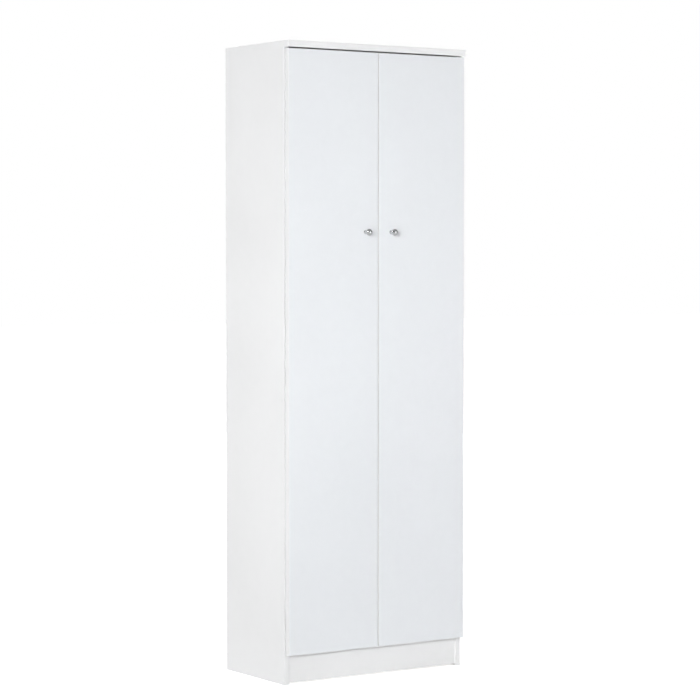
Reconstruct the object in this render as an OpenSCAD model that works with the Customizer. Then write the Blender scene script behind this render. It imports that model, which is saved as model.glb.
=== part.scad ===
// Pantry cabinet: tall two-door carcass of 16 mm melamine board on its own
// side panels, with a plinth board, five storage spaces and concealed hinges.
// Millimetres. +Z up, the doors face -Y, origin at the centre of the floor area.
// Doors, hinges and side fittings are drawn once for the left side and mirrored
// for the right side.

/* [Carcass] */
// overall height
cab_h = 1800; // [1500:5:2100]
// overall width
cab_w = 610; // [500:2:800]
// front-to-back size of a side panel
side_d = 314; // [250:1:400]
// thickness of the side, base, shelf and door boards
board_t = 16; // [15:1:19]
// thickness of the top panel
top_t = 18; // [15:1:25]
// how far the top panel reaches in front of the side panels
top_over = 23; // [18:1:35]
// height of the base panel's underside above the floor
base_z = 84; // [60:1:120]
// gap between the plinth board and the floor
kick_gap = 5; // [2:1:15]
// set-back of the plinth board from the side panels' front edges
kick_set = 3; // [0:1:20]
// thickness of the hardboard back
back_t = 3; // [2.5:0.5:4]

/* [Doors] */
// gap between the two doors
door_gap = 3; // [2:0.5:4]
// how far a door stops short of the side panel's outer face
door_reveal = 3; // [0:0.5:5]
// gap between a door's inner face and the carcass front
door_clear = 4; // [1.5:0.1:5]
// gap between the top panel and the doors
door_top_gap = 4; // [2:0.5:5]
// height of the doors' lower edge above the base panel's underside
door_low = 1; // [0:0.5:5]
// heights of the four hinges on each door
hinge_z = [185, 680, 1180, 1679];
// height of the knobs
knob_z = 1270; // [1000:1:1400]
// distance of a knob from the middle of the cabinet
knob_x = 44; // [30:1:60]
// projection of a knob
knob_l = 24; // [18:1:30]

/* [Shelves] */
// underside of the fixed shelf
fixed_z = 784; // [600:1:1000]
// undersides of the three adjustable shelves
shelf_z = [440, 1110, 1440];
// depth of an adjustable shelf
shelf_d = 296; // [250:1:300]
// side play of an adjustable shelf
shelf_play = 1; // [0.5:0.5:2]
// pitch of the shelf pin holes
pin_pitch = 32; // [25:1:40]
// diameter of a shelf pin's stem
pin_d = 5; // [4:0.5:7]

/* [Hinge] */
// distance of the arm pivot from the side panel's inner face
arm_px = 14.1; // [12:0.1:17]
// distance of the arm pivot behind the side panel's front edge
arm_py = 3; // [2:0.1:5]
// distance of the cup pivot outside the side panel's inner face
cup_px = 6.7; // [6:0.1:7]
// distance of the cup pivot in front of the side panel's front edge
cup_py = 7.8; // [5:0.1:9]
// diameter of the cup
cup_d = 35; // [35:1:40]
// depth of the cup
cup_depth = 11.5; // [11:0.1:13]
// distance of the cup's centre inside the side panel's inner face
cup_cx = 7.5; // [6:0.1:9]
// radius of both hinge pins
hpin_r = 0.9; // [0.8:0.05:1.5]
// running clearance of a link on its pins
run_fit = 0.05; // [0.02:0.01:0.1]
// half width of a link
link_hw = 3.5; // [3:0.1:4]

// positions of the two arm screws behind the side panel's front edge
arm_screw_y = [50, 32];

/* [Hidden] */
$fn = 48;
half_w = cab_w / 2;
inner_x = half_w - board_t;
back_y = 176;
front_y = back_y - side_d;
side_h = cab_h - top_t;
top_front = front_y - top_over;
base_top = base_z + board_t;
fixed_top = fixed_z + board_t;
door_z0 = base_z + door_low;
door_z1 = side_h - door_top_gap;
door_back = front_y - door_clear;
door_front = door_back - board_t;
door_w = half_w - door_reveal - door_gap / 2;
back_x = half_w - 2;
back_z0 = base_z + 2;
back_z1 = cab_h - 2;
pin_rows = [front_y + 37, back_y - 37];
pin_steps = [-2, -1, 0, 1];
nail_x = [-225, -75, 75, 225];
nail_side_z = [for (i = [0:9]) 110 + i * 182];
cam_rows = [front_y + 50, back_y - 50];
dowel_rows = [front_y + 82, back_y - 82];
kick_y = front_y + kick_set;
kick_mid = kick_y + board_t / 2;
shelf_y0 = front_y + 13;
joint_z = [base_z + board_t / 2, fixed_z + board_t / 2];
wall_x = [-150, 150];

white = [0.93, 0.93, 0.92];
steel = [0.75, 0.75, 0.76];
zinc = [0.66, 0.66, 0.67];
wood = [0.82, 0.68, 0.48];

// ---------- helpers ----------
module box(x0, x1, y0, y1, z0, z1) {
  translate([x0, y0, z0])
    cube([x1 - x0, y1 - y0, z1 - z0]);
}

module xcyl(r, x0, x1, y, z) {
  translate([x0, y, z])
    rotate([0, 90, 0])
      cylinder(r = r, h = x1 - x0);
}

module ycyl(r, y0, y1, x, z) {
  translate([x, y0, z])
    rotate([-90, 0, 0])
      cylinder(r = r, h = y1 - y0);
}

module zcyl(r, z0, z1, x, y) {
  translate([x, y, z0])
    cylinder(r = r, h = z1 - z0);
}

module right() {
  mirror([1, 0, 0])
    children();
}

module both() {
  children();
  right()
    children();
}

// local hinge frame: x into the cabinet from the side panel's inner face,
// y forward from the side panel's front edge
module at_hinges() {
  for (hz = hinge_z)
    translate([-inner_x, front_y, hz])
      mirror([0, 1, 0])
        children();
}

// ---------- carcass boards ----------
module side_panel() {
  difference() {
    box(-half_w, -inner_x, front_y, back_y, 0, side_h);
    for (sz = shelf_z, y = pin_rows, k = pin_steps)
      xcyl(pin_d / 2, -inner_x - 10, -inner_x + 1, y, sz - 3 + k * pin_pitch);
    for (z = joint_z, y = cam_rows)
      xcyl(3.05, -inner_x - 11, -inner_x + 1, y, z);
    for (z = joint_z, y = dowel_rows)
      xcyl(4, -inner_x - 11, -inner_x + 1, y, z);
    for (z = [kick_gap + 20, kick_gap + 60])
      xcyl(4, -inner_x - 11, -inner_x + 1, kick_mid, z);
    xcyl(1.55, -inner_x - 11, -inner_x + 1, kick_y + board_t + 16, 45);
    for (y = cam_rows) {
      zcyl(4, side_h - 34, side_h + 1, -half_w + board_t / 2, y);
      xcyl(7.5, -inner_x - 12.5, -inner_x + 1, y, side_h - 34);
    }
    for (y = dowel_rows)
      zcyl(4, side_h - 21, side_h + 1, -half_w + board_t / 2, y);
    for (z = nail_side_z)
      ycyl(0.85, back_y - 20, back_y + 1, -half_w + board_t / 2, z);
    at_hinges()
      for (z = [-16, 16])
        xcyl(1.55, -11, 1, -37, z);
  }
}

module top_panel() {
  difference() {
    box(-half_w, half_w, top_front, back_y, side_h, cab_h);
    both() {
      for (y = cam_rows)
        zcyl(3.05, side_h - 1, side_h + 11, -half_w + board_t / 2, y);
      for (y = dowel_rows)
        zcyl(4, side_h - 1, side_h + 10, -half_w + board_t / 2, y);
    }
    for (x = nail_x)
      ycyl(0.85, back_y - 20, back_y + 1, x, side_h + 9);
    for (x = wall_x, dx = [-10, 10])
      zcyl(1.55, side_h - 1, side_h + 11, x + dx, back_y - 20);
  }
}

// a board spanning the carcass, held at both ends by cams and dowels
module tied_board(z0) {
  difference() {
    box(-inner_x, inner_x, front_y, back_y, z0, z0 + board_t);
    both() {
      for (y = cam_rows) {
        xcyl(4, -inner_x - 1, -inner_x + 34, y, z0 + board_t / 2);
        zcyl(7.5, z0 - 1, z0 + 12.5, -inner_x + 34, y);
      }
      for (y = dowel_rows)
        xcyl(4, -inner_x - 1, -inner_x + 21, y, z0 + board_t / 2);
    }
    for (x = nail_x)
      ycyl(0.85, back_y - 20, back_y + 1, x, z0 + board_t / 2);
  }
}

module kickboard() {
  difference() {
    box(-inner_x, inner_x, kick_y, kick_y + board_t, kick_gap, base_z);
    both() {
      for (z = [kick_gap + 20, kick_gap + 60])
        xcyl(4, -inner_x - 1, -inner_x + 21, kick_mid, z);
      ycyl(1.55, kick_y + board_t - 11, kick_y + board_t + 1, -inner_x + 16, 45);
    }
  }
}

module loose_shelf(z0) {
  box(-inner_x + shelf_play, inner_x - shelf_play, shelf_y0, shelf_y0 + shelf_d,
    z0, z0 + board_t);
}

// four pins carry each adjustable shelf
module shelf_pins() {
  both()
    for (sz = shelf_z, y = pin_rows) {
      xcyl(pin_d / 2 - 0.05, -inner_x - 9, -inner_x, y, sz - 3);
      xcyl(4, -inner_x, -inner_x + 0.9, y, sz - 3);
      xcyl(3, -inner_x + 0.9, -inner_x + 10, y, sz - 3);
    }
}

// ---------- back ----------
module back_half() {
  difference() {
    box(-back_x, -0.6, back_y, back_y + back_t, back_z0, back_z1);
    for (z = nail_side_z)
      ycyl(0.85, back_y - 1, back_y + 5, -half_w + board_t / 2, z);
    for (x = [nail_x[0], nail_x[1]], z = [joint_z[0], joint_z[1], side_h + 9])
      ycyl(0.85, back_y - 1, back_y + 5, x, z);
    ycyl(2.5, back_y - 1, back_y + 5, wall_x[0], side_h - 18);
  }
}

// plastic strip of H section that joins the two halves of the back
module back_joiner_strip() {
  box(-12, 12, back_y - 1.2, back_y, base_top + 0.5, fixed_z - 0.5);
  box(-12, 12, back_y - 1.2, back_y, fixed_top + 0.5, side_h - 0.5);
  box(-0.55, 0.55, back_y - 0.1, back_y + back_t + 0.1, base_top + 0.5, fixed_z - 0.5);
  box(-0.55, 0.55, back_y - 0.1, back_y + back_t + 0.1, fixed_top + 0.5, side_h - 0.5);
  box(-0.55, 0.55, back_y, back_y + back_t + 0.1, back_z0, back_z1);
  box(-12, 12, back_y + back_t, back_y + back_t + 1, back_z0, back_z1);
}

module nail(x, z) {
  ycyl(0.8, back_y - 18, back_y + back_t + 0.2, x, z);
  ycyl(2.4, back_y + back_t, back_y + back_t + 0.9, x, z);
}

module back_nails() {
  both()
    for (z = nail_side_z)
      nail(-half_w + board_t / 2, z);
  for (x = nail_x, z = [joint_z[0], joint_z[1], side_h + 9])
    nail(x, z);
}

// ---------- knock-down fittings ----------
// bolt pointing along +x from the face it is screwed into
module cam_bolt() {
  rotate([0, 90, 0]) {
    translate([0, 0, -10.5])
      cylinder(r = 3, h = 10.5);
    cylinder(r = 3.6, h = 1);
    cylinder(r = 3.3, h = 26);
    cylinder(r = 2, h = 31);
    translate([0, 0, 30])
      cylinder(r = 3.3, h = 3.5);
  }
}

// eccentric disc, open end at z = 0, its hollow faces -x
module cam_disc(mid) {
  difference() {
    cylinder(r = 7.4, h = 12.3);
    translate([-8, 0, mid])
      rotate([0, 90, 0])
        cylinder(r = 3.7, h = 9.5);
    translate([-3.5, -0.6, -1])
      cube([7, 1.2, 2.6]);
    translate([-0.6, -3.5, -1])
      cube([1.2, 7, 2.6]);
  }
}

module cam_bolts() {
  both() {
    for (z = joint_z, y = cam_rows)
      translate([-inner_x, y, z])
        cam_bolt();
    for (y = cam_rows)
      translate([-half_w + board_t / 2, y, side_h])
        rotate([0, 90, 0])
          cam_bolt();
  }
}

module cam_discs() {
  both() {
    for (z = [base_z, fixed_z], y = cam_rows)
      translate([-inner_x + 34, y, z])
        cam_disc(board_t / 2);
    for (y = cam_rows)
      translate([-inner_x, y, side_h - 34])
        rotate([0, -90, 0])
          rotate([0, 0, 180])
            cam_disc(board_t / 2);
  }
}

module wood_dowels() {
  both() {
    for (z = joint_z, y = dowel_rows)
      xcyl(3.95, -inner_x - 10.5, -inner_x + 20, y, z);
    for (z = [kick_gap + 20, kick_gap + 60])
      xcyl(3.95, -inner_x - 10.5, -inner_x + 20, kick_mid, z);
    for (y = dowel_rows)
      zcyl(3.95, side_h - 20, side_h + 9.5, -half_w + board_t / 2, y);
  }
}

module kick_brackets() {
  ky = kick_y + board_t;
  both()
    difference() {
      union() {
        box(-inner_x, -inner_x + 1.5, ky, ky + 26, 30, 60);
        box(-inner_x, -inner_x + 26, ky, ky + 1.5, 30, 60);
      }
      xcyl(1.8, -inner_x - 1, -inner_x + 3, ky + 16, 45);
      ycyl(1.8, ky - 1, ky + 3, -inner_x + 16, 45);
    }
}

module kick_bracket_screws() {
  ky = kick_y + board_t;
  both() {
    xcyl(1.5, -inner_x - 10, -inner_x + 1.6, ky + 16, 45);
    xcyl(3.2, -inner_x + 1.5, -inner_x + 3.1, ky + 16, 45);
    ycyl(1.5, ky - 10, ky + 1.6, -inner_x + 16, 45);
    ycyl(3.2, ky + 1.5, ky + 3.1, -inner_x + 16, 45);
  }
}

module wall_brackets() {
  for (x = wall_x)
    difference() {
      union() {
        box(x - 20, x + 20, back_y - 2, back_y, side_h - 30, side_h);
        box(x - 20, x + 20, back_y - 30, back_y, side_h - 2, side_h);
      }
      ycyl(2.5, back_y - 3, back_y + 1, x, side_h - 18);
      for (dx = [-10, 10])
        zcyl(1.8, side_h - 3, side_h + 1, x + dx, back_y - 20);
    }
}

module wall_bracket_screws() {
  for (x = wall_x, dx = [-10, 10]) {
    zcyl(1.5, side_h - 2.1, side_h + 10, x + dx, back_y - 20);
    zcyl(3.2, side_h - 3.6, side_h - 2, x + dx, back_y - 20);
  }
}

// ---------- hinge, drawn for the left side ----------
module hinge_plates() {
  at_hinges()
    difference() {
      union() {
        box(0, 2, -60, -16, -9, 9);
        box(0, 2, -43, -31, -24, 24);
        box(1.9, 6, -58, -20, -3.4, 3.4);
      }
      for (z = [-16, 16])
        xcyl(1.8, -1, 3, -37, z);
      for (y = arm_screw_y)
        xcyl(1.65, -1, 7, -y, 0);
    }
}

module plate_screws() {
  at_hinges()
    for (z = [-16, 16]) {
      xcyl(1.5, -10, 2.1, -37, z);
      xcyl(3.2, 2, 3.8, -37, z);
    }
}

// sheet-metal arm: a web over the plate with a cheek on each side
module arm_side() {
  polygon([[3.2, -61], [3.2, -24], [6.5, -19], [11.2, -4.4], [arm_px, -arm_py],
    [17.2, -4.4], [17.2, -10], [8.6, -25.5], [7.5, -27], [7.5, -61]]);
  translate([arm_px, -arm_py])
    circle(r = 3.2);
}

module arm_web() {
  polygon([[6.1, -61], [6.1, -26.4], [15.9, -9.2], [15.9, -7], [17.2, -7],
    [17.2, -10], [8.6, -25.5], [7.5, -27], [7.5, -61]]);
}

module hinge_arms() {
  at_hinges()
    difference() {
      union() {
        for (z = [-5.2, 4])
          translate([0, 0, z])
            linear_extrude(height = 1.2)
              arm_side();
        translate([0, 0, -5.2])
          linear_extrude(height = 10.4)
            arm_web();
      }
      translate([arm_px, -arm_py, -6])
        cylinder(r = hpin_r, h = 12);
      for (y = arm_screw_y)
        xcyl(1.8, 5, 9, -y, 0);
    }
}

module arm_screws() {
  at_hinges()
    for (y = arm_screw_y) {
      xcyl(1.6, 1, 7.6, -y, 0);
      xcyl(3.1, 7.5, 9.3, -y, 0);
    }
}

module arm_pins() {
  at_hinges()
    translate([arm_px, -arm_py, -5.2])
      cylinder(r = hpin_r, h = 10.4);
}

// centre line of the hooked link, from the cup pivot to the arm pivot
hook = [[-cup_px, cup_py], [-5.2, cup_py + 2.1], [-3, cup_py + 3.5], [0, cup_py + 3.4],
  [3.2, cup_py + 2], [arm_px, -arm_py]];

module strip(p, q, hw) {
  d = q - p;
  translate(p)
    rotate(atan2(d[1], d[0]))
      translate([0, -hw])
        square([norm(d), 2 * hw]);
}

module hook_shape() {
  difference() {
    union() {
      for (i = [0:len(hook) - 2])
        strip(hook[i], hook[i + 1], 0.9);
      for (i = [1:len(hook) - 2])
        translate(hook[i])
          circle(r = 0.9);
      translate(hook[0])
        circle(r = 1.65);
      translate(hook[len(hook) - 1])
        circle(r = 2.2);
    }
    translate(hook[0])
      circle(r = hpin_r + run_fit);
    translate(hook[len(hook) - 1])
      circle(r = hpin_r + run_fit);
  }
}

module hinge_links() {
  at_hinges()
    translate([0, 0, -link_hw])
      linear_extrude(height = 2 * link_hw)
        hook_shape();
}

module cup_flange() {
  translate([cup_cx, 0])
    circle(r = 20);
  translate([10, -29])
    square([13, 58]);
}

module hinge_cups() {
  at_hinges() {
    difference() {
      union() {
        ycyl(cup_d / 2 - 0.05, door_clear, door_clear + cup_depth, cup_cx, 0);
        translate([0, door_clear, 0])
          rotate([90, 0, 0])
            linear_extrude(height = 0.8)
              cup_flange();
      }
      ycyl(cup_d / 2 - 0.8, door_clear - 2, door_clear + cup_depth - 0.8, cup_cx, 0);
      for (z = [-24, 24])
        ycyl(1.8, door_clear - 2, door_clear + 1, 16.5, z);
    }
    difference() {
      intersection() {
        ycyl(cup_d / 2 - 0.5, door_clear + 1.4, door_clear + cup_depth - 0.4, cup_cx, 0);
        union() {
          box(-10, -4.4, door_clear + 1.4, door_clear + 11, 3.9, 5.7);
          box(-10, -4.4, door_clear + 1.4, door_clear + 11, -5.7, -3.9);
        }
      }
      translate([-cup_px, cup_py, -6])
        cylinder(r = hpin_r, h = 12);
    }
  }
}

module cup_pins() {
  at_hinges()
    translate([-cup_px, cup_py, -5.7])
      cylinder(r = hpin_r, h = 11.4);
}

module cup_screws() {
  at_hinges()
    for (z = [-24, 24]) {
      ycyl(1.5, door_clear - 0.9, door_clear + 11, 16.5, z);
      ycyl(3.1, door_clear - 2, door_clear - 0.8, 16.5, z);
    }
}

// ---------- door, drawn for the left side ----------
module door() {
  difference() {
    box(-half_w + door_reveal, -door_gap / 2, door_front, door_back, door_z0, door_z1);
    at_hinges() {
      ycyl(cup_d / 2, door_clear - 1, door_clear + cup_depth, cup_cx, 0);
      for (z = [-24, 24])
        ycyl(1.55, door_clear - 1, door_clear + 11.5, 16.5, z);
    }
    ycyl(2.1, door_front - 1, door_back + 1, -knob_x, knob_z);
  }
}

// turned knob: foot, waist and domed head
module knob() {
  difference() {
    translate([-knob_x, door_front, knob_z])
      rotate([90, 0, 0])
        rotate_extrude()
          polygon([[0, 0], [6.2, 0], [6.2, 1.4], [5.6, 2], [4.4, 4], [4, 6.5], [4.1, 9],
            [5, 11.4], [7.2, 13.6], [9.4, 15.2], [10, 16.6], [10, 18.6], [9.6, 20.2],
            [8.6, 21.6], [6.8, 22.8], [4.4, 23.6], [1.8, knob_l], [0, knob_l]]);
    ycyl(2.05, door_front - 10, door_front + 1, -knob_x, knob_z);
  }
}

module knob_screw() {
  ycyl(2, door_front - 9, door_back + 0.1, -knob_x, knob_z);
  ycyl(4, door_back, door_back + 1.6, -knob_x, knob_z);
}

module door_bumpers() {
  for (z = joint_z)
    ycyl(4, door_back, door_back + door_clear - 0.2, -22, z);
}

color(white) side_panel();  // left_side_panel
color(white) right() side_panel();  // right_side_panel
color(white) top_panel();
color(white) tied_board(base_z);  // base_panel
color(white) kickboard();
color(white) tied_board(fixed_z);  // fixed_shelf
color(white) loose_shelf(shelf_z[0]);  // lower_shelf
color(white) loose_shelf(shelf_z[1]);  // middle_shelf
color(white) loose_shelf(shelf_z[2]);  // upper_shelf
color(steel) shelf_pins();
color(white) back_half();  // left_back_panel
color(white) right() back_half();  // right_back_panel
color(white) back_joiner_strip();
color(steel) back_nails();
color(zinc) cam_discs();
color(zinc) cam_bolts();
color(wood) wood_dowels();
color(zinc) kick_brackets();
color(zinc) kick_bracket_screws();
color(zinc) wall_brackets();
color(zinc) wall_bracket_screws();
color(steel) hinge_plates();  // left_hinge_plates
color(zinc) plate_screws();  // left_plate_screws
color(steel) hinge_arms();  // left_hinge_arms
color(zinc) arm_screws();  // left_arm_screws
color(zinc) arm_pins();  // left_arm_pins
color(zinc) hinge_links();  // left_hinge_links
color(white) door();  // left_door
color(steel) knob();  // left_knob
color(zinc) knob_screw();  // left_knob_screw
color(steel) hinge_cups();  // left_hinge_cups
color(zinc) cup_screws();  // left_cup_screws
color(zinc) cup_pins();  // left_cup_pins
color(zinc) door_bumpers();  // left_door_bumpers
color(steel) right() hinge_plates();  // right_hinge_plates
color(zinc) right() plate_screws();  // right_plate_screws
color(steel) right() hinge_arms();  // right_hinge_arms
color(zinc) right() arm_screws();  // right_arm_screws
color(zinc) right() arm_pins();  // right_arm_pins
color(zinc) right() hinge_links();  // right_hinge_links
color(white) right() door();  // right_door
color(steel) right() knob();  // right_knob
color(zinc) right() knob_screw();  // right_knob_screw
color(steel) right() hinge_cups();  // right_hinge_cups
color(zinc) right() cup_screws();  // right_cup_screws
color(zinc) right() cup_pins();  // right_cup_pins
color(zinc) right() door_bumpers();  // right_door_bumpers
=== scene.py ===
# %% [markdown]
# # A flat-pack pantry cabinet
# The object is a tall two-door cupboard of white melamine board. The CAD frame
# already holds every board, bore and hinge at its true size. This notebook dresses
# that frame: soft edges, edge banding, raw chipboard in the bores, turned metal
# and a studio to look at it in.

# %% Load the frame
from math import radians

import bpy
import bmesh
from mathutils import Matrix, Vector


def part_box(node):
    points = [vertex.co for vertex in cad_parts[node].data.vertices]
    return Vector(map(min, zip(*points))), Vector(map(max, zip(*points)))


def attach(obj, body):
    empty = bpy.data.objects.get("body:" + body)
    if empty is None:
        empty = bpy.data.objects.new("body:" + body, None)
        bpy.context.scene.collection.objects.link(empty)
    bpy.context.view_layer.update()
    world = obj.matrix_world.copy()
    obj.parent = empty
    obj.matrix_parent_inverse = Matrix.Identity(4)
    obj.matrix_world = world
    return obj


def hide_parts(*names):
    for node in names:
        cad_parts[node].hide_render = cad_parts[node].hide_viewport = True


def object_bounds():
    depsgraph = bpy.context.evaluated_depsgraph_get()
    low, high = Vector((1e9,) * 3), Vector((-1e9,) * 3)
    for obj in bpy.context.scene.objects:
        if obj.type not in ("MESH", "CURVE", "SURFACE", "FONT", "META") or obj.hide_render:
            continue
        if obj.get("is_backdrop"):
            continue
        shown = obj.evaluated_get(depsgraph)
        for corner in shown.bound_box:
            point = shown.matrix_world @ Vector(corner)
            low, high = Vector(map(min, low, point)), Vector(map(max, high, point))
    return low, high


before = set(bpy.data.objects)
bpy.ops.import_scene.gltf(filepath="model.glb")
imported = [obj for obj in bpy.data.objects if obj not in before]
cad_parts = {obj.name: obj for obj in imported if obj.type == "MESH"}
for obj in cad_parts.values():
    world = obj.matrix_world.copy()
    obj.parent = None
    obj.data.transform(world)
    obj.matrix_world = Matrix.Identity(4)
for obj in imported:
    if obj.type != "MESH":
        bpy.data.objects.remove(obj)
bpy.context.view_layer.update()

MM = 0.001
WELD = 0.002 * MM  # points nearer than this are one point

# %% [markdown]
# ## The camera
# A tall, plain object looks best through a long lens from a few metres away: its
# upright lines stay almost parallel. The camera stands to the left of the doors, at
# chest height, and looks down a little.

# %% Camera
LOOK_DOWN = 2.31  # degrees below level
TURN = 33.77  # degrees from straight on to the doors
camera_data = bpy.data.cameras.new("camera")
camera_data.lens = 123.7
camera = bpy.data.objects.new("camera", camera_data)
camera.location = (-3.874, -5.806, 1.211)
camera.rotation_euler = (radians(90 - LOOK_DOWN), 0, radians(-TURN))
bpy.context.collection.objects.link(camera)
bpy.context.scene.camera = camera
print("camera lens", camera_data.lens, "mm")

# %% [markdown]
# ## Selecting before an operator
# An operator acts on all that is selected, and the loaded frame leaves its nodes
# selected. So each step starts with an empty selection and then picks one object.


# %% Selection helpers
def only(obj):
    """Leave Edit Mode, select this object alone and make it active."""
    if bpy.context.object and bpy.context.object.mode != "OBJECT":
        bpy.ops.object.mode_set(mode="OBJECT")
    bpy.ops.object.select_all(action="DESELECT")
    if obj:
        obj.select_set(True)
        bpy.context.view_layer.objects.active = obj


def apply_modifiers(obj):
    """Make every modifier on this object part of its mesh."""
    only(obj)
    for modifier in list(obj.modifiers):
        bpy.ops.object.modifier_apply(modifier=modifier.name)


def smooth(obj, angle=35, keep_flats=False):
    """Shade smoothly up to an angle.

    keep_flats stops a narrow rounded edge from bending the light on a wide flat face.
    """
    only(obj)
    bpy.ops.object.shade_smooth_by_angle(angle=radians(angle))
    if keep_flats:
        weighted = obj.modifiers.new("flats", "WEIGHTED_NORMAL")
        weighted.keep_sharp = True
        weighted.weight = 80
        apply_modifiers(obj)


# %% [markdown]
# ## Shared surface effects
# A finish is rarely one flat colour. These node groups make effects that several
# materials use: the pebble of pressed melamine, faint handling marks, the flecks of
# chipboard, and the fine lines of worked metal. A group only gives out masks,
# colours and heights. Each material keeps its own shader.


# %% Node group helpers
def new_group(name, inputs, outputs):
    """A shader node group with float inputs and the named outputs."""
    group = bpy.data.node_groups.new(name, "ShaderNodeTree")
    for label, value in inputs:
        socket = group.interface.new_socket(label, in_out="INPUT", socket_type="NodeSocketFloat")
        socket.default_value = value
    for label, kind in outputs:
        group.interface.new_socket(label, in_out="OUTPUT", socket_type="NodeSocket" + kind)
    start = group.nodes.new("NodeGroupInput")
    end = group.nodes.new("NodeGroupOutput")
    return group, start, end


def object_coordinates(group, scale=(1, 1, 1)):
    """Object coordinates in metres, stretched by a Mapping node."""
    texture = group.nodes.new("ShaderNodeTexCoord")
    mapping = group.nodes.new("ShaderNodeMapping")
    mapping.inputs["Scale"].default_value = scale
    group.links.new(texture.outputs["Object"], mapping.inputs["Vector"])
    return mapping.outputs["Vector"]


def noise(group, vector, scale, detail=2.0, roughness=0.5):
    """A noise texture; scale is a number or a socket."""
    node = group.nodes.new("ShaderNodeTexNoise")
    node.inputs["Detail"].default_value = detail
    node.inputs["Roughness"].default_value = roughness
    group.links.new(vector, node.inputs["Vector"])
    if isinstance(scale, (int, float)):
        node.inputs["Scale"].default_value = scale
    else:
        group.links.new(scale, node.inputs["Scale"])
    return node.outputs["Fac"]


def remap(group, value, low, high, to_low=0.0, to_high=1.0):
    """Stretch low..high to to_low..to_high and clamp it."""
    node = group.nodes.new("ShaderNodeMapRange")
    limits = {"From Min": low, "From Max": high, "To Min": to_low, "To Max": to_high}
    for label, number in limits.items():
        node.inputs[label].default_value = number
    group.links.new(value, node.inputs["Value"])
    return node.outputs["Result"]


def ramp(group, value, stops):
    """A colour ramp from (position, colour) stops."""
    node = group.nodes.new("ShaderNodeValToRGB")
    elements = node.color_ramp.elements
    while len(elements) < len(stops):
        elements.new(0.5)
    for element, (position, color) in zip(elements, stops):
        element.position = position
        element.color = (*color, 1.0)
    group.links.new(value, node.inputs["Fac"])
    return node.outputs["Color"]


def maths(group, operation, a, b):
    """A Math node; a and b are each a number or a socket."""
    node = group.nodes.new("ShaderNodeMath")
    node.operation = operation
    for socket, value in zip(node.inputs, (a, b)):
        if isinstance(value, (int, float)):
            socket.default_value = value
        else:
            group.links.new(value, socket)
    return node.outputs["Value"]


# %% Pebble: the texture rolled into melamine
pebble, start, end = new_group("pebble", [("Scale", 700.0)], [("Height", "Float")])
place = object_coordinates(pebble)
cells = pebble.nodes.new("ShaderNodeTexVoronoi")
cells.feature = "SMOOTH_F1"
pebble.links.new(place, cells.inputs["Vector"])
pebble.links.new(start.outputs["Scale"], cells.inputs["Scale"])
fine = noise(pebble, place, 1900.0, 1.0)
both = maths(pebble, "ADD", cells.outputs["Distance"], maths(pebble, "MULTIPLY", fine, 0.5))
pebble.links.new(both, end.inputs["Height"])
print("group", pebble.name)

# %% Handling: broad, faint unevenness in tone and gloss
handling, start, end = new_group("handling", [("Scale", 3.0)], [("Mask", "Float")])
place = object_coordinates(handling)
broad = noise(handling, place, start.outputs["Scale"], 3.0)
small = noise(handling, place, 37.0, 4.0, 0.65)
blend = maths(handling, "ADD", maths(handling, "MULTIPLY", broad, 0.7),
              maths(handling, "MULTIPLY", small, 0.3))
handling.links.new(remap(handling, blend, 0.35, 0.65), end.inputs["Mask"])
print("group", handling.name)

# %% Flecks: the chips and dust of a cut board edge
flecks, start, end = new_group("flecks", [("Scale", 420.0)],
                               [("Color", "Color"), ("Height", "Float")])
place = object_coordinates(flecks)
chips = flecks.nodes.new("ShaderNodeTexVoronoi")
flecks.links.new(place, chips.inputs["Vector"])
flecks.links.new(start.outputs["Scale"], chips.inputs["Scale"])
chip_tone = flecks.nodes.new("ShaderNodeSeparateColor")
flecks.links.new(chips.outputs["Color"], chip_tone.inputs["Color"])
chip_color = ramp(flecks, chip_tone.outputs["Red"], [
    (0.0, (0.20, 0.115, 0.055)), (0.35, (0.36, 0.235, 0.125)),
    (0.7, (0.50, 0.36, 0.21)), (1.0, (0.62, 0.49, 0.32))])
flecks.links.new(chip_color, end.inputs["Color"])
pits = noise(flecks, place, 900.0, 3.0, 0.7)
flecks.links.new(maths(flecks, "ADD", chips.outputs["Distance"], pits), end.inputs["Height"])
print("group", flecks.name)

# %% Worked metal: fine tumbled lines
worked, start, end = new_group("worked_metal", [("Scale", 900.0)],
                               [("Mask", "Float"), ("Height", "Float")])
place = object_coordinates(worked, (1.0, 1.0, 0.12))
lines = noise(worked, place, start.outputs["Scale"], 3.0, 0.6)
worked.links.new(remap(worked, lines, 0.3, 0.7), end.inputs["Mask"])
worked.links.new(lines, end.inputs["Height"])
print("group", worked.name)


# %% [markdown]
# ## Materials
# Each finish starts from the same small recipe: a Principled shader whose colour and
# roughness move a little between two values under a mask, and a bump from a height.


# %% Material recipe
def use_group(tree, group, **values):
    """Place a node group in a material with its own values."""
    node = tree.nodes.new("ShaderNodeGroup")
    node.node_tree = group
    for label, value in values.items():
        node.inputs[label].default_value = value
    return node


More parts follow.
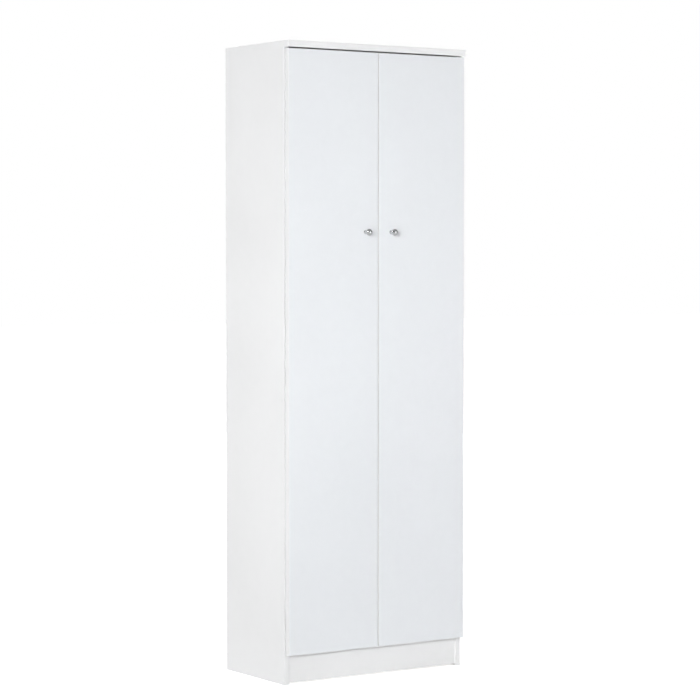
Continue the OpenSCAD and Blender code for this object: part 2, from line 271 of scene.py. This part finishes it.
def finish(name, mask, colors, roughness, height=None, bump=(0.1, 0.0001), **shader):
    """A material between two colours and two roughnesses under a mask."""
    material = bpy.data.materials.new(name)
    material.use_nodes = True
    tree = material.node_tree
    principled = tree.nodes["Principled BSDF"]
    group, scale, output = mask
    source = use_group(tree, group, Scale=scale)
    mix = tree.nodes.new("ShaderNodeMix")
    mix.data_type = "RGBA"
    mix.inputs["A"].default_value = (*colors[0], 1)
    mix.inputs["B"].default_value = (*colors[1], 1)
    tree.links.new(source.outputs[output], mix.inputs["Factor"])
    tree.links.new(mix.outputs["Result"], principled.inputs["Base Color"])
    gloss = remap(tree, source.outputs[output], 0, 1, *roughness)
    tree.links.new(gloss, principled.inputs["Roughness"])
    if height:
        group, scale = height
        node = tree.nodes.new("ShaderNodeBump")
        node.inputs["Strength"].default_value = bump[0]
        node.inputs["Distance"].default_value = bump[1]
        heights = use_group(tree, group, Scale=scale)
        tree.links.new(heights.outputs["Height"], node.inputs["Height"])
        tree.links.new(node.outputs["Normal"], principled.inputs["Normal"])
    for label, value in shader.items():
        principled.inputs[label.replace("_", " ")].default_value = value
    return material


def tint(value, shift):
    """A near-white grey, moved a little in red, green and blue."""
    return tuple(value + s for s in shift)


# %% Board finishes
WARM = (-0.001, 0.001, 0.002)
COOL = (-0.022, -0.002, 0.017)
melamine = finish("white_melamine", (handling, 3.0, "Mask"), [tint(0.83, WARM), tint(0.86, WARM)],
                  (0.36, 0.46), (pebble, 700.0), (0.25, 0.00006))
door_face = finish("door_melamine", (handling, 2.4, "Mask"), [tint(0.81, COOL), tint(0.84, COOL)],
                   (0.30, 0.40), (pebble, 650.0), (0.22, 0.00006))
edge_band = finish("edge_band", (handling, 9.0, "Mask"), [tint(0.83, WARM), tint(0.86, WARM)],
                   (0.28, 0.38), (pebble, 1400.0), (0.10, 0.00004))
print("board finishes:", melamine.name, door_face.name, edge_band.name)


# %% Raw chipboard and hardboard
def flecked(name, scale, roughness, tone=None, bump=(0.5, 0.0003)):
    """A material whose colour comes from the flecks themselves."""
    material = finish(name, (handling, 150.0, "Mask"), [(0.4, 0.27, 0.15), (0.5, 0.36, 0.2)],
                      roughness, (flecks, scale), bump)
    tree = material.node_tree
    mix = tree.nodes["Mix"]
    chips = use_group(tree, flecks, Scale=scale)
    if tone:
        mix.inputs["A"].default_value = (*tone, 1)
    else:
        tree.links.new(chips.outputs["Color"], mix.inputs["A"])
    tree.links.new(chips.outputs["Color"], mix.inputs["B"])
    return material


chipboard = flecked("raw_chipboard", 420.0, (0.80, 0.95))
hardboard = flecked("brown_hardboard", 1500.0, (0.62, 0.80), (0.34, 0.225, 0.128),
                    (0.35, 0.00025))
back_face = finish("white_lacquer", (handling, 5.0, "Mask"),
                   [(0.78, 0.78, 0.765), (0.82, 0.82, 0.805)],
                   (0.42, 0.55), (pebble, 320.0), (0.2, 0.0001))
print("board cores:", chipboard.name, hardboard.name, back_face.name)

# %% Metals
chrome = finish("polished_chrome", (handling, 60.0, "Mask"),
                [(0.60, 0.605, 0.615), (0.68, 0.685, 0.695)],
                (0.06, 0.13), (worked, 500.0), (0.02, 0.00002), Metallic=1.0)
nickel = finish("nickel_plate", (worked, 900.0, "Mask"),
                [(0.56, 0.54, 0.50), (0.68, 0.66, 0.62)],
                (0.20, 0.36), (worked, 900.0), (0.08, 0.00004), Metallic=1.0)
zinc = finish("zinc_plate", (worked, 700.0, "Mask"),
              [(0.48, 0.50, 0.53), (0.66, 0.67, 0.69)],
              (0.28, 0.46), (worked, 700.0), (0.12, 0.00005), Metallic=1.0)
diecast = finish("zinc_casting", (handling, 90.0, "Mask"),
                 [(0.34, 0.345, 0.35), (0.46, 0.465, 0.47)],
                 (0.42, 0.60), (pebble, 2200.0), (0.25, 0.00005), Metallic=1.0)
print("metals:", chrome.name, nickel.name, zinc.name, diecast.name)

# %% Plastics and dowel wood
plastic = finish("white_plastic", (handling, 12.0, "Mask"),
                 [(0.74, 0.74, 0.73), (0.80, 0.80, 0.79)],
                 (0.34, 0.48), (worked, 300.0), (0.12, 0.0001))
soft_clear = finish("clear_bumper", (handling, 120.0, "Mask"),
                    [(0.80, 0.83, 0.84), (0.88, 0.90, 0.90)],
                    (0.12, 0.22), (pebble, 900.0), (0.05, 0.00005),
                    Transmission_Weight=0.6, IOR=1.45)
beech = finish("beech", (worked, 260.0, "Mask"), [(0.52, 0.33, 0.17), (0.68, 0.48, 0.28)],
               (0.60, 0.75), (worked, 260.0), (0.3, 0.0002))
print("others:", plastic.name, soft_clear.name, beech.name)

# %% [markdown]
# ## Boards
# A real flat-pack board is sawn chipboard with a white skin on both faces, a thin
# plastic band ironed on the edges that show, and bare chips inside every drilled
# hole. The CAD board already has each bore, so it is copied, its loose triangles are
# merged, and its long edges get the small radius that a trimmer leaves. Then each
# face takes the skin, the band or the raw core by where it lies.


# %% Copy a CAD node as one clean mesh
STILL_FLAT = 0.4  # degrees between triangles of one flat face


def merged_copy(node, name):
    """A copy of a CAD node with shared points and whole flat faces."""
    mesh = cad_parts[node].data.copy()
    mesh.materials.clear()
    obj = bpy.data.objects.new(name, mesh)
    bpy.context.collection.objects.link(obj)
    only(obj)
    bpy.ops.object.mode_set(mode="EDIT")
    bpy.ops.mesh.select_all(action="SELECT")
    bpy.ops.mesh.remove_doubles(threshold=WELD)
    bpy.ops.mesh.dissolve_limited(angle_limit=radians(STILL_FLAT))
    bpy.ops.object.mode_set(mode="OBJECT")
    return obj


def box_sides(point, low, high, tolerance=2e-5):
    """Which sides of the box a point lies on, such as {'-x', '+z'}."""
    found = set()
    for i, letter in enumerate("xyz"):
        if abs(point[i] - low[i]) < tolerance:
            found.add("-" + letter)
        if abs(point[i] - high[i]) < tolerance:
            found.add("+" + letter)
    return found


# %% Trim the long edges of a board
def trim_edges(obj, low, high, radius, raw=""):
    """Round the edges along the box's own corners, but not beside a sawn, raw side."""
    only(obj)
    bpy.ops.object.mode_set(mode="EDIT")
    bpy.ops.mesh.select_all(action="DESELECT")
    bpy.ops.mesh.select_mode(type="EDGE")
    mesh = bmesh.from_edit_mesh(obj.data)
    for edge in mesh.edges:
        a, b = (box_sides(v.co, low, high) for v in edge.verts)
        edge.select = len(a & b) >= 2 and not a & b & set(raw.split())
    bmesh.update_edit_mesh(obj.data)
    bpy.ops.mesh.bevel(offset=radius, segments=3, affect="EDGES", clamp_overlap=False)
    bpy.ops.object.mode_set(mode="OBJECT")


# %% Give each face its skin, band or core
BAND, CORE = 1, 2  # material places after the face's own, which is 0
LEANING_OUT = 0.15  # how far a trimmed edge's normal points out of a side
SQUARE_ON = 0.98  # the same for the flat of a side
NEAR_SIDE = 0.0012  # metres; a little over the trimmed radius


def skin(obj, low, high, face, banded="", raw=""):
    """banded and raw list box sides, such as '-y +z'."""
    banded, raw = banded.split(), raw.split()
    for material in (face, edge_band, chipboard):
        obj.data.materials.append(material)
    for polygon in obj.data.polygons:
        sides, flat = set(), False
        for i, letter in enumerate("xyz"):
            for sign, limit in (("-", low[i]), ("+", high[i])):
                outward = polygon.normal[i] * (1 if sign == "+" else -1)
                if outward > LEANING_OUT and abs(polygon.center[i] - limit) < NEAR_SIDE:
                    sides.add(sign + letter)
                    flat = outward > SQUARE_ON
        if not sides or (flat and sides & set(raw)):
            polygon.material_index = CORE
        elif sides & set(banded):
            polygon.material_index = BAND


def board(node, name, face, body="carcass", banded="", raw="", radius=0.0006):
    """A board from its CAD node, with trimmed edges and its own skin."""
    obj = merged_copy(node, name)
    low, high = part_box(node)
    trim_edges(obj, low, high, radius, raw)
    skin(obj, low, high, face, banded, raw)
    smooth(obj, keep_flats=True)
    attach(obj, body)
    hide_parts(node)
    print(name, len(obj.data.polygons), "faces")


# %% Carcass boards
for side in ("left", "right"):
    board(side + "_side_panel", side + "_side_board", melamine,
          banded="-y", raw="-z +z +y")
board("top_panel", "top_board", melamine, banded="-y -x +x", raw="+y")
board("base_panel", "base_board", melamine, banded="-y", raw="-x +x +y")
board("fixed_shelf", "fixed_shelf_board", melamine, banded="-y",
      raw="-x +x +y")
board("kickboard", "plinth_board", melamine, raw="-x +x -z +z")
for which in ("lower", "middle", "upper"):
    board(which + "_shelf", which + "_shelf_board", melamine,
          banded="-y", raw="-x +x +y")

# %% [markdown]
# ## Doors
# A door is banded on all four edges, because each of them shows when it opens. Its
# face is a touch cooler and smoother than the carcass board.

# %% Doors
for side in ("left", "right"):
    board(side + "_door", side + "_door_board", door_face, body=side + "_door",
          banded="-x +x -z +z", radius=0.0009)

# %% [markdown]
# ## The back
# The back is two sheets of thin hardboard, white on the inside and bare brown fibre
# on the outside, joined down the middle by a plastic strip and nailed all round.


# %% Hardboard sheets
def hardboard_sheet(node, name):
    """A back sheet: white where it faces the shelves, brown fibre elsewhere."""
    obj = merged_copy(node, name)
    low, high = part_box(node)
    obj.data.materials.append(hardboard)
    obj.data.materials.append(back_face)
    for polygon in obj.data.polygons:
        inside = polygon.normal.y < -0.9 and abs(polygon.center.y - low[1]) < 1e-5
        polygon.material_index = 1 if inside else 0
    smooth(obj, keep_flats=True)
    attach(obj, "carcass")
    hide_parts(node)
    print(name, len(obj.data.polygons), "faces")


for side in ("left", "right"):
    hardboard_sheet(side + "_back_panel", side + "_back_sheet")


# %% [markdown]
# ## Pressed and cast metal
# Hinges, cams and brackets are stamped or cast, so no edge on them is truly sharp.
# A narrow bevel on every edge past 40 degrees catches the light as the real one does.


# %% Soften a CAD node's edges
def softened(node, name, material, width, body="carcass"):
    """A fitting from its CAD node, with a narrow bevel on its sharp edges."""
    obj = merged_copy(node, name)
    obj.data.materials.append(material)
    bevel = obj.modifiers.new("bevel", "BEVEL")
    bevel.width = width
    bevel.segments = 2
    bevel.limit_method = "ANGLE"
    bevel.angle_limit = radians(40)
    bevel.use_clamp_overlap = True
    apply_modifiers(obj)
    smooth(obj, 40, keep_flats=True)
    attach(obj, body)
    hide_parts(node)
    print(name, len(obj.data.polygons), "faces")


# %% Fittings and hinges
softened("back_joiner_strip", "joiner_strip", plastic, 0.25 * MM)
softened("cam_discs", "cam_locks", diecast, 0.2 * MM)
softened("cam_bolts", "cam_dowels", zinc, 0.2 * MM)
softened("kick_brackets", "plinth_brackets", zinc, 0.4 * MM)
softened("wall_brackets", "wall_straps", zinc, 0.5 * MM)
softened("wood_dowels", "dowels", beech, 0.6 * MM)
for side in ("left", "right"):
    softened(side + "_hinge_plates", side + "_mounting_plates", nickel, 0.3 * MM)
    softened(side + "_hinge_arms", side + "_arms", nickel, 0.2 * MM)
    softened(side + "_arm_pins", side + "_arm_rivets", zinc, 0.15 * MM)
    softened(side + "_hinge_links", side + "_link_hooks", nickel, 0.15 * MM,
             side + "_links")
    softened(side + "_hinge_cups", side + "_cups", nickel, 0.2 * MM,
             side + "_door")
    softened(side + "_cup_pins", side + "_cup_rivets", zinc, 0.15 * MM,
             side + "_door")

# %% [markdown]
# ## Turned pieces
# Knobs, pins, nails and bumpers are all round. Each starts as a disc, and every ring
# of its profile is extruded from the last one and scaled to its own radius, as a
# turner works along the blank.


# %% Turn a profile
def turned(name, profile, sides=32):
    """profile lists (radius, height) in millimetres; it is turned about Z."""
    only(None)
    radius, height = profile[0]
    bpy.ops.mesh.primitive_circle_add(vertices=sides, radius=radius * MM, fill_type="NGON",
                                      location=(0, 0, height * MM))
    obj = bpy.context.object
    obj.name = obj.data.name = name
    bpy.ops.object.transform_apply(location=True, rotation=True, scale=True)
    bpy.ops.object.mode_set(mode="EDIT")
    bpy.ops.mesh.select_all(action="SELECT")
    for (r0, h0), (r1, h1) in zip(profile, profile[1:]):
        rise = (0, 0, (h1 - h0) * MM)
        bpy.ops.mesh.extrude_region_move(TRANSFORM_OT_translate={"value": rise})
        bpy.ops.transform.resize(value=(r1 / r0, r1 / r0, 1), center_override=(0, 0, h1 * MM))
    bpy.ops.mesh.select_all(action="SELECT")
    bpy.ops.mesh.normals_make_consistent(inside=False)
    bpy.ops.object.mode_set(mode="OBJECT")
    return obj


def copies(pattern, name, places):
    """One piece made of a copy of the pattern at each place, each with its own mesh."""
    made = []
    for place in places:
        obj = bpy.data.objects.new(name, pattern.data.copy())
        obj.data.transform(place)
        if place.determinant() < 0:
            obj.data.flip_normals()
        bpy.context.collection.objects.link(obj)
        made.append(obj)
    only(made[0])
    for obj in made:
        obj.select_set(True)
    if len(made) > 1:
        bpy.ops.object.join()
    made[0].name = made[0].data.name = name
    return made[0]


def facing(axis, place):
    """A matrix that stands a Z-turned piece along the given axis at a place."""
    return Matrix.Translation(place) @ Vector(axis).to_track_quat("Z", "Y").to_matrix().to_4x4()


def islands(node):
    """The low and high corner of each separate solid in a CAD node."""
    mesh = bmesh.new()
    mesh.from_mesh(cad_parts[node].data)
    bmesh.ops.remove_doubles(mesh, verts=mesh.verts, dist=WELD)
    seen, boxes = set(), []
    for first in mesh.verts:
        if first in seen:
            continue
        group, stack = [], [first]
        seen.add(first)
        while stack:
            vert = stack.pop()
            group.append(vert.co)
            for edge in vert.link_edges:
                other = edge.other_vert(vert)
                if other not in seen:
                    seen.add(other)
                    stack.append(other)
        low = Vector([min(c[i] for c in group) for i in range(3)])
        high = Vector([max(c[i] for c in group) for i in range(3)])
        boxes.append((low, high))
    mesh.free()
    return boxes


# %% Chrome knobs
KNOB = [(6.2, 0), (6.2, 0.3), (6.2, 1.1), (6.0, 1.5), (5.5, 2.0), (4.6, 3.4), (4.1, 5.2),
        (4.0, 7.0), (4.1, 8.8), (4.7, 10.6), (6.0, 12.4), (7.9, 14.0), (9.3, 15.0),
        (9.9, 16.2), (10.0, 17.5), (9.9, 18.8), (9.5, 20.2), (8.6, 21.6), (7.2, 22.6),
        (5.4, 23.4), (3.4, 23.8), (1.6, 23.98), (0.3, 24.0)]
pattern = turned("knob_pattern", KNOB, 40)
subdivide = pattern.modifiers.new("smooth", "SUBSURF")
subdivide.levels = subdivide.render_levels = 1
apply_modifiers(pattern)
smooth(pattern, 50)
pattern.data.materials.append(chrome)
for side in ("left", "right"):
    low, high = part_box(side + "_knob")
    foot = Vector(((low[0] + high[0]) / 2, high[1], (low[2] + high[2]) / 2))
    knob = copies(pattern, side + "_chrome_knob", [facing((0, -1, 0), foot)])
    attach(knob, side + "_door")
    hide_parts(side + "_knob")
bpy.data.objects.remove(pattern)
print("knobs turned from", len(KNOB), "rings")

# %% [markdown]
# ## Screws
# Flat-pack screws have a low domed head with a cross recess. The head is turned, the
# cross is cut with a boolean, and one screw of each size is copied to its places.


# %% Cut a cross recess
ARM_WIDTH = 0.28  # of the cross's own size


def crossed(obj, top, size, depth):
    """Cut a cross into the top of a head; sizes in millimetres."""
    only(None)
    bpy.ops.mesh.primitive_cube_add(size=1, location=(0, 0, 0))
    cutter = bpy.context.object
    cutter.scale = (size * MM, ARM_WIDTH * size * MM, 2 * depth * MM)
    cutter.location = (0, 0, top * MM)
    bpy.ops.object.transform_apply(location=True, rotation=True, scale=True)
    bpy.ops.object.mode_set(mode="EDIT")
    bpy.ops.mesh.select_all(action="SELECT")
    bpy.ops.mesh.duplicate_move()
    bpy.ops.transform.rotate(value=radians(90), orient_axis="Z", center_override=(0, 0, 0))
    bpy.ops.object.mode_set(mode="OBJECT")
    cut = obj.modifiers.new("cross", "BOOLEAN")
    cut.operation = "DIFFERENCE"
    cut.solver = "EXACT"
    cut.use_self = True
    cut.object = cutter
    apply_modifiers(obj)
    bpy.data.objects.remove(cutter)


PITCH = 1.2  # millimetres from one thread ridge to the next


def screw(name, shank, length, head, height):
    """A screw from the tip up: tip at -length, head from 0 to height."""
    profile = [(0.3, -length), (shank * 0.75, -length + 1.5)]
    turns = int((length - 2.5) / PITCH)
    for i in range(turns):
        z = -length + 2 + PITCH * i
        profile += [(shank, z), (shank * 0.78, z + PITCH / 2)]
    profile += [(shank, -0.3), (shank, 0), (head * 0.96, 0.01), (head, 0.25 * height),
                (head * 0.93, 0.62 * height), (head * 0.72, 0.9 * height), (head * 0.4, height)]
    obj = turned(name, profile, 24)
    crossed(obj, height, head * 1.05, height * 0.6)
    smooth(obj, 35)
    obj.data.materials.append(zinc)
    return obj


def head_end(node, low, high, axis):
    """True when the wider end of a CAD screw is its high end along axis."""
    middle = (low[axis] + high[axis]) / 2
    across = (axis + 1) % 3
    centre = (low[across] + high[across]) / 2
    reach = (high[across] - low[across]) / 2
    top = 0
    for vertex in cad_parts[node].data.vertices:
        co = vertex.co
        if all(low[i] - 1e-5 < co[i] < high[i] + 1e-5 for i in range(3)):
            if abs(abs(co[across] - centre) - reach) < 1e-5:
                top += 1 if co[axis] > middle else -1
    return top > 0


def set_screws(node, name, shank, head, height, length, body="carcass"):
    """Put a screw on each solid of a CAD node, its head where the CAD head is."""
    pattern = screw("screw_pattern", shank, length, head, height)
    places = []
    for low, high in islands(node):
        size = high - low
        centre = (low + high) / 2
        axis = max(range(3), key=lambda i: size[i])
        where = centre.copy()
        direction = [0, 0, 0]
        if head_end(node, low, high, axis):
            direction[axis] = 1
            where[axis] = high[axis] - height * MM
        else:
            direction[axis] = -1
            where[axis] = low[axis] + height * MM
        places.append(facing(direction, where))
    obj = copies(pattern, name, places)
    bpy.data.objects.remove(pattern)
    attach(obj, body)
    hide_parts(node)
    print(name, len(places), "screws")


# %% Screws in their places
for side in ("left", "right"):
    set_screws(side + "_plate_screws", side + "_plate_screw_set", 1.5, 3.2, 1.8, 12)
    set_screws(side + "_arm_screws", side + "_arm_screw_set", 1.6, 3.1, 1.8, 6.4)
    set_screws(side + "_cup_screws", side + "_cup_screw_set", 1.5, 3.1, 1.2, 11.8,
               side + "_door")
    set_screws(side + "_knob_screw", side + "_knob_machine_screw", 2.0, 4.0, 1.6, 25,
               side + "_door")
set_screws("kick_bracket_screws", "plinth_bracket_screw_set", 1.5, 3.2, 1.6, 11.5)
set_screws("wall_bracket_screws", "wall_strap_screw_set", 1.5, 3.2, 1.6, 12)


# %% [markdown]
# ## Pins, nails and bumpers
# Shelf pins are nickel plugs with a collar that stops them at the side panel. The
# back is held by small flat-headed nails, and a soft clear dot on each door quiets it.


# %% Small round pieces
def set_turned(node, name, profile, axis_of, material, body="carcass", sides=24):
    """Copies of a turned profile, one for each solid; axis_of gives its axis and foot."""
    pattern = turned("pattern", profile, sides)
    smooth(pattern, 40)
    pattern.data.materials.append(material)
    places = [facing(*axis_of(low, high)) for low, high in islands(node)]
    obj = copies(pattern, name, places)
    bpy.data.objects.remove(pattern)
    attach(obj, body)
    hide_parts(node)
    print(name, len(places), "pieces")


def pin_place(low, high):
    """A shelf pin's stem starts in the side panel and its peg points inward."""
    inward = -1 if low.x > 0 else 1
    foot = low.x if inward > 0 else high.x
    return (inward, 0, 0), Vector((foot, (low.y + high.y) / 2, (low.z + high.z) / 2))


def rearward_place(low, high):
    """A nail or a bumper has its foot in front and points to the back."""
    return (0, 1, 0), Vector(((low.x + high.x) / 2, low.y, (low.z + high.z) / 2))


PIN = [(2.2, 0), (2.45, 0.4), (2.45, 8.9), (3.8, 9.0), (4.0, 9.15), (4.0, 9.75), (3.8, 9.9),
       (3.0, 9.92), (3.0, 18.2), (2.8, 18.8), (2.3, 19.0)]
NAIL = [(0.1, 0), (0.8, 1.6), (0.8, 20.8), (2.25, 21.0), (2.4, 21.2), (2.4, 21.6),
        (2.2, 21.85), (1.2, 21.9)]
DOT = [(4.0, 0), (4.0, 1.8), (3.9, 2.5), (3.6, 3.1), (3.0, 3.5), (2.0, 3.72), (0.8, 3.8)]
set_turned("shelf_pins", "shelf_plugs", PIN, pin_place, nickel)
set_turned("back_nails", "nails", NAIL, rearward_place, zinc, sides=16)
for side in ("left", "right"):
    set_turned(side + "_door_bumpers", side + "_bumper_dots", DOT, rearward_place, soft_clear,
               side + "_door")

# %% [markdown]
# ## The studio
# The cabinet is white on white, so its shape is told by very small steps of tone. An
# even pale surround fills every face, and broad soft lamps make the side a little
# lighter than the doors and leave the narrow gaps dark. The floor and the surround look
# plain white from where one stands, but they light the cabinet more gently than that.

# %% Floor
SEEN_GLOW = 0.7  # added to the floor only where it is looked at directly
only(None)
bpy.ops.mesh.primitive_plane_add(size=60, location=(0, 0, 0))
floor = bpy.context.object
floor.name = "studio_floor"
floor_paint = finish("floor_paint", (handling, 1.0, "Mask"),
                     [(0.78, 0.78, 0.78), (0.80, 0.80, 0.80)],
                     (0.85, 0.95), Emission_Color=(1, 1, 1, 1), Emission_Strength=0.05)
floor.data.materials.append(floor_paint)
tree = floor_paint.node_tree
glow = tree.nodes.new("ShaderNodeEmission")
rays = tree.nodes.new("ShaderNodeLightPath")
seen = maths(tree, "MULTIPLY", rays.outputs["Is Camera Ray"], SEEN_GLOW)
tree.links.new(seen, glow.inputs["Strength"])
added = tree.nodes.new("ShaderNodeAddShader")
tree.links.new(tree.nodes["Principled BSDF"].outputs["BSDF"], added.inputs[0])
tree.links.new(glow.outputs["Emission"], added.inputs[1])
tree.links.new(added.outputs["Shader"], tree.nodes["Material Output"].inputs["Surface"])
floor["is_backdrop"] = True
print("floor:", floor.name)

# %% Surround: white to look at, and as a light dim from below and bright from above
world = bpy.data.worlds.new("surround")
bpy.context.scene.world = world
world.use_nodes = True
tree = world.node_tree
background = tree.nodes["Background"]
direction = tree.nodes.new("ShaderNodeTexCoord")
height = tree.nodes.new("ShaderNodeSeparateXYZ")
tree.links.new(direction.outputs["Generated"], height.inputs["Vector"])
sky = ramp(tree, remap(tree, height.outputs["Z"], -1, 1), [
    (0.0, (0.30, 0.30, 0.305)), (0.49, (0.36, 0.36, 0.365)), (0.60, (0.60, 0.605, 0.615)),
    (0.80, (0.95, 0.955, 0.97))])
tree.links.new(sky, background.inputs["Color"])
background.inputs["Strength"].default_value = 0.475
backdrop = tree.nodes.new("ShaderNodeBackground")
backdrop.inputs["Color"].default_value = (1, 1, 1, 1)
backdrop.inputs["Strength"].default_value = 1.0
chooser = tree.nodes.new("ShaderNodeMixShader")
rays = tree.nodes.new("ShaderNodeLightPath")
tree.links.new(rays.outputs["Is Camera Ray"], chooser.inputs["Fac"])
tree.links.new(background.outputs["Background"], chooser.inputs[1])
tree.links.new(backdrop.outputs["Background"], chooser.inputs[2])
tree.links.new(chooser.outputs["Shader"], tree.nodes["World Output"].inputs["Surface"])
print("surround:", world.name)

# %% [markdown]
# ## The lamps
# The key stands far off to the left and lights the side and, at a slant, the doors.
# The fill lifts the fronts. The glow has a gathered beam, which makes the middle
# heights a little brighter. The back lamp keeps the rear, the right side and the top
# from going grey when they are looked at.


# %% Lamps
def lamp(name, place, target, size, power, spread=180):
    """A square soft lamp that points at a target; a small spread gathers its beam."""
    data = bpy.data.lights.new(name, "AREA")
    data.size = size
    data.spread = radians(spread)
    data.energy = power
    obj = bpy.data.objects.new(name, data)
    obj.location = place
    obj.rotation_euler = (Vector(target) - Vector(place)).to_track_quat("-Z", "Y").to_euler()
    bpy.context.collection.objects.link(obj)
    print("lamp:", name, power, "W")


lamp("key", (-10.1, -8.85, 4.2), (0, 0, 0.9), 1.5, 890)
lamp("fill", (3.6, -5.4, 1.25), (0, 0, 1.1), 2.2, 26)
lamp("glow", (-6.6, -5.3, 0.98), (0, 0, 0.98), 1.0, 6.8, spread=32)
lamp("back", (5.0, 7.6, 1.7), (0, 0, 0.9), 2.5, 360)
bpy.context.scene.view_settings.view_transform = "Standard"

# %% Measure and finish
low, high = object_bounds()
